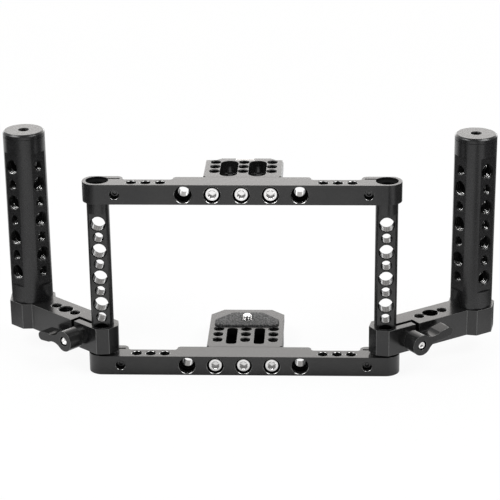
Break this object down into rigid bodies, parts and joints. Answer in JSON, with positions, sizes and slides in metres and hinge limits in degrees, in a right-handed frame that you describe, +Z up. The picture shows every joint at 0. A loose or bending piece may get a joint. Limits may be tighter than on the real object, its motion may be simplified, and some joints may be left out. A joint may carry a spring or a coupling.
{
  "type": "monitor cage",
  "caption": "Clamp-bar cage for a small field monitor, with two monitor plates, folding arms and drilled upright grips.",
  "frame": {"origin": "on the underside of the bottom bar, midway between the axes of the two uprights", "axes": "+X to the right as seen by the person holding the grips and facing the bars, +Y away from that person towards the monitor plates, +Z up along the uprights"},
  "size_m": [0.337, 0.09, 0.1554],
  "materials": {
    "frame": "satin",
    "handle": "satin",
    "lever": "satin",
    "bright_screw": "polished",
    "dark_screw": "satin",
    "pad": "matte"
  },
  "bodies": {
    "cage": {"bottom_bar": "frame", "left_upright": "frame", "right_upright": "frame", "bottom_plate": "frame", "bottom_pad": "pad", "bottom_plate_screws": "bright_screw", "bottom_clamp_screws": "dark_screw"},
    "bottom_monitor_screw": {"bottom_monitor_screw": "bright_screw"},
    "top_bar": {"top_bar": "frame", "top_plate": "frame", "top_pad": "pad", "top_plate_screws": "bright_screw", "top_clamp_screws": "dark_screw"},
    "top_monitor_screw": {"top_monitor_screw": "bright_screw"},
    "left_arm": {"left_arm": "frame", "left_handle": "handle", "left_handle_cap": "handle", "left_handle_bolt": "bright_screw"},
    "left_hub": {"left_lever_hub": "dark_screw", "left_lever_screw": "bright_screw", "left_lever_spring": "bright_screw"},
    "left_lever": {"left_lever": "lever"},
    "right_arm": {"right_arm": "frame", "right_handle": "handle", "right_handle_cap": "handle", "right_handle_bolt": "bright_screw"},
    "right_hub": {"right_lever_hub": "dark_screw", "right_lever_screw": "bright_screw", "right_lever_spring": "bright_screw"},
    "right_lever": {"right_lever": "lever"}
  },
  "joints": [
    {"name": "top_bar_height", "type": "slide", "parent": "cage", "child": "top_bar", "axis": [0, 0, 1], "range_m": [-0.06, 0]},
    {"name": "bottom_monitor_screw_turn", "type": "hinge", "parent": "cage", "child": "bottom_monitor_screw", "pos_m": [0, 0.054, 0.015], "axis": [0, 0, 1], "continuous": true},
    {"name": "top_monitor_screw_turn", "type": "hinge", "parent": "top_bar", "child": "top_monitor_screw", "pos_m": [0, 0.054, 0.1206], "axis": [0, 0, -1], "continuous": true},
    {"name": "left_arm_fold", "type": "hinge", "parent": "cage", "child": "left_arm", "pos_m": [-0.09525, 0, 0.02425], "axis": [0, 0, 1], "range_deg": [-45, 115]},
    {"name": "left_lever_turn", "type": "hinge", "parent": "left_arm", "child": "left_hub", "pos_m": [-0.11173, 0.00061, 0.02425], "axis": [0.6587, 0.7524, 0], "range_deg": [-59, 96]},
    {"name": "left_lever_lift", "type": "slide", "parent": "left_hub", "child": "left_lever", "axis": [-0.6587, -0.7524, 0], "range_m": [0, 0.0018], "stiffness_N_per_m": 600, "springref_m": -0.001, "deforming": ["left_lever_spring"]},
    {"name": "right_arm_fold", "type": "hinge", "parent": "cage", "child": "right_arm", "pos_m": [0.09525, 0, 0.02425], "axis": [0, 0, -1], "range_deg": [-50, 108]},
    {"name": "right_lever_turn", "type": "hinge", "parent": "right_arm", "child": "right_hub", "pos_m": [0.11169, -0.00135, 0.02425], "axis": [0.565, -0.8251, 0], "range_deg": [-73, 78]},
    {"name": "right_lever_lift", "type": "slide", "parent": "right_hub", "child": "right_lever", "axis": [0.565, -0.8251, 0], "range_m": [0, 0.0018], "stiffness_N_per_m": 600, "springref_m": -0.001, "deforming": ["right_lever_spring"]}
  ]
}
